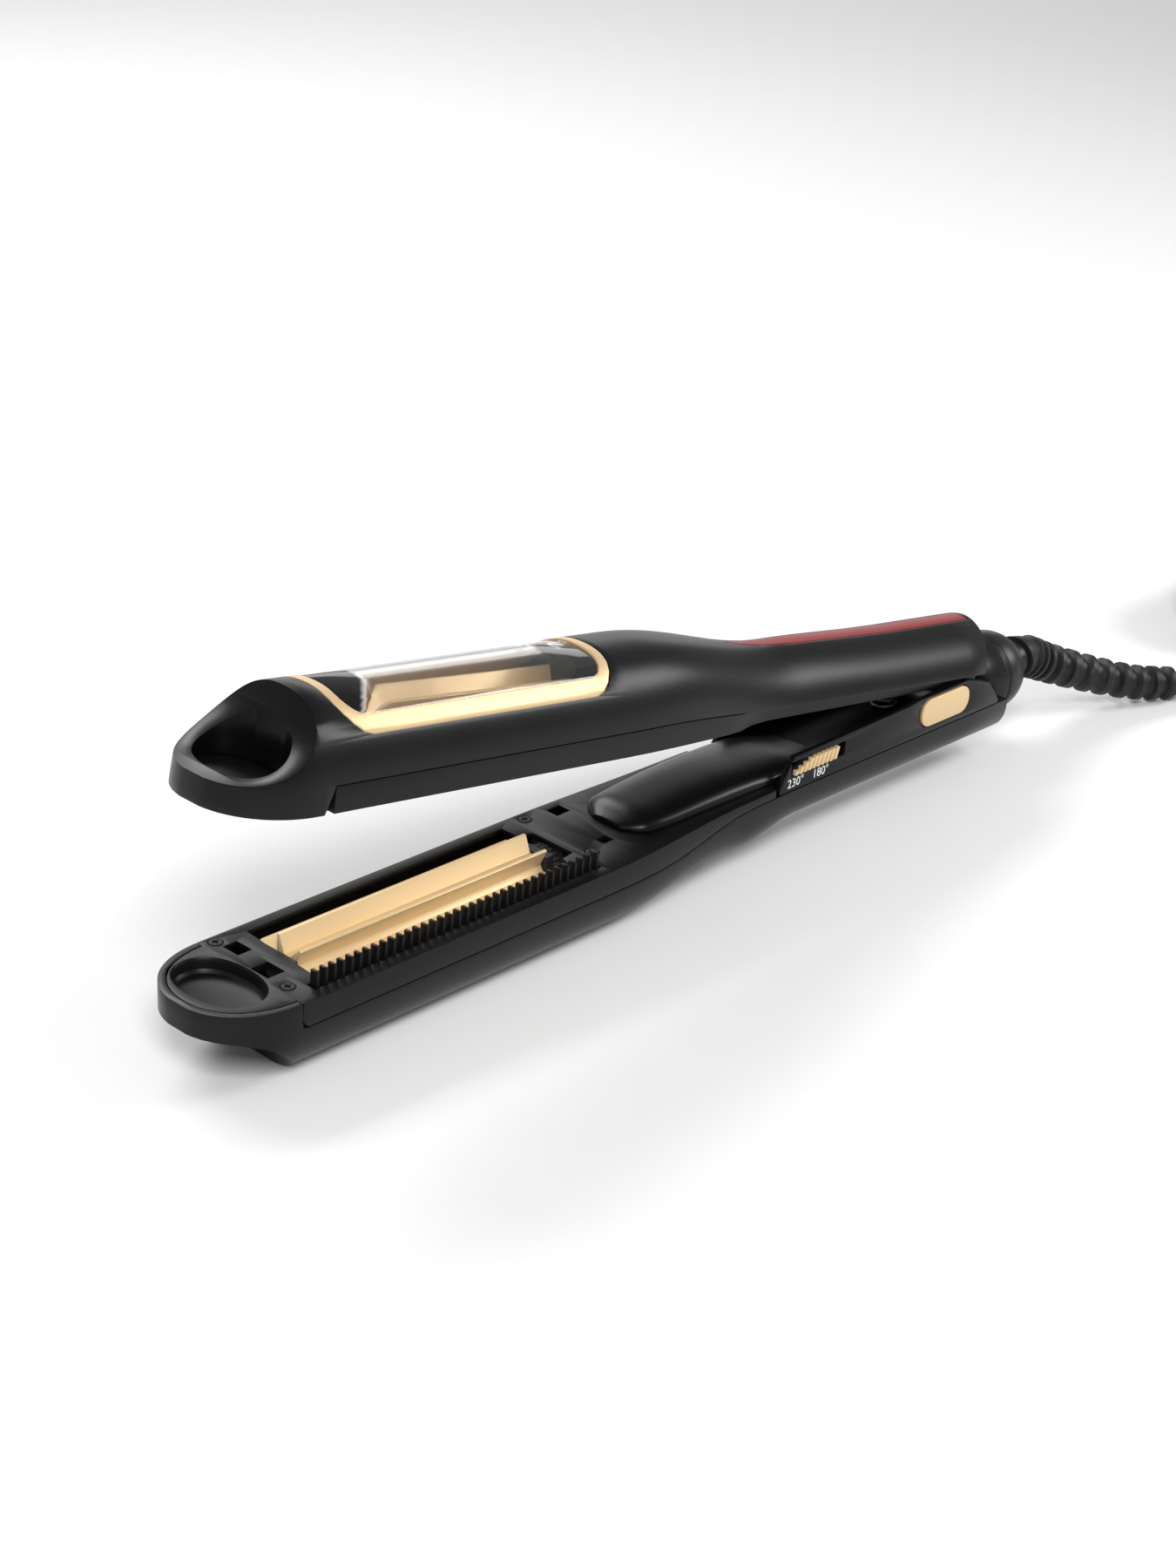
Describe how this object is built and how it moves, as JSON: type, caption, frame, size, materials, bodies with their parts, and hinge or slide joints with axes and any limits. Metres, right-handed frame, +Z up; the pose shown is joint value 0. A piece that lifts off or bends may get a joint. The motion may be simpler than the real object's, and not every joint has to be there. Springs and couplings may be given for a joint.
{
  "type": "hair crimper",
  "caption": "Automatic hair crimper: two sprung-open arms with star-shaped heated rollers, a guide comb, a windowed upper arm, a side button and slider, and a swivelling mains lead.",
  "frame": {"origin": "middle of the appliance's footprint, without its lead, on the surface that the lower arm's flat belly lies on", "axes": "+X from the nose back to the lead, +Y to the far side from the controls, +Z up from the surface"},
  "size_m": [0.6508, 0.0505, 0.0865],
  "materials": {
    "shell": "satin black moulding",
    "frame": "fine matte black",
    "bearing": "heat-resistant black",
    "steel": "plain steel",
    "screw": "blackened steel",
    "board": "green circuit board",
    "cord": "satin black",
    "swivel": "satin black",
    "contact": "nickel plated",
    "gold_trim": "satin champagne gold",
    "gold_roller": "coated champagne gold",
    "window": "clear",
    "stripe": "satin dark red",
    "gear": "natural white"
  },
  "bodies": {
    "lower_arm": {"lower_shell": "shell", "lower_inner_frame": "frame", "motor_cover": "shell", "guide_comb": "frame", "control_panel": "shell", "side_panel": "shell", "lower_heater": "steel", "lower_front_bearing": "bearing", "lower_rear_bearing": "bearing", "motor": "steel", "gearbox": "steel", "circuit_board": "board", "power_switch": "bearing", "temperature_switch": "bearing", "hinge_pin": "steel", "arm_spring": "steel", "lower_screw_1": "screw", "lower_screw_2": "screw", "lower_screw_3": "screw", "lower_screw_4": "screw", "strain_relief": "cord", "cord_run": "cord", "cord_hank": "cord", "cord_tie": "cord", "cord_tail": "cord", "plug_body": "cord", "plug_pin_1": "contact", "plug_pin_2": "contact"},
    "upper_arm": {"upper_shell": "shell", "upper_inner_frame": "frame", "window_bezel": "gold_trim", "window_glass": "window", "red_stripe": "stripe", "upper_heater": "steel", "upper_front_bearing": "bearing", "upper_rear_bearing": "bearing", "upper_screw_1": "screw", "upper_screw_2": "screw", "upper_screw_3": "screw", "upper_screw_4": "screw"},
    "lower_roller_body": {"lower_roller": "gold_roller", "roller_gear": "gear"},
    "upper_roller_body": {"upper_roller": "gold_roller"},
    "motor_shaft": {"motor_pinion": "gear"},
    "button": {"power_button": "gold_trim"},
    "slider": {"temperature_slider": "gold_trim"},
    "swivel": {"cord_swivel_ball": "swivel"}
  },
  "joints": [
    {"name": "arm_hinge", "type": "hinge", "parent": "lower_arm", "child": "upper_arm", "pos_m": [0.1084, 0, 0.0242], "axis": [0, -1, 0], "range_deg": [0, 10.25], "stiffness_Nm_per_rad": 1.5, "springref_deg": -8.59, "deforming": ["arm_spring"]},
    {"name": "lower_roller_spin", "type": "hinge", "parent": "lower_arm", "child": "lower_roller_body", "pos_m": [-0.0786, 0.0045, 0.0129], "axis": [1, 0, 0], "continuous": true},
    {"name": "upper_roller_spin", "type": "hinge", "parent": "upper_arm", "child": "upper_roller_body", "pos_m": [-0.07514, 0.0045, 0.06301], "axis": [0.984, 0, -0.1779], "continuous": true},
    {"name": "motor_spin", "type": "hinge", "parent": "lower_arm", "child": "motor_shaft", "pos_m": [-0.0351, -0.0037, 0.0122], "axis": [1, 0, 0], "continuous": true},
    {"name": "power_button_press", "type": "slide", "parent": "lower_arm", "child": "button", "axis": [0, 1, 0], "range_m": [0, 0.0008], "stiffness_N_per_m": 1500, "springref_m": -0.0004},
    {"name": "temperature_slide", "type": "slide", "parent": "lower_arm", "child": "slider", "axis": [1, 0, 0], "range_m": [0, 0.003]},
    {"name": "cord_swivel", "type": "hinge", "parent": "lower_arm", "child": "swivel", "pos_m": [0.1369, 0, 0.0198], "axis": [1, 0, 0], "continuous": true}
  ],
  "couplings": [
    {"joint": "upper_roller_spin", "follows": "lower_roller_spin", "ratio": -1},
    {"joint": "motor_spin", "follows": "lower_roller_spin", "ratio": -2}
  ]
}
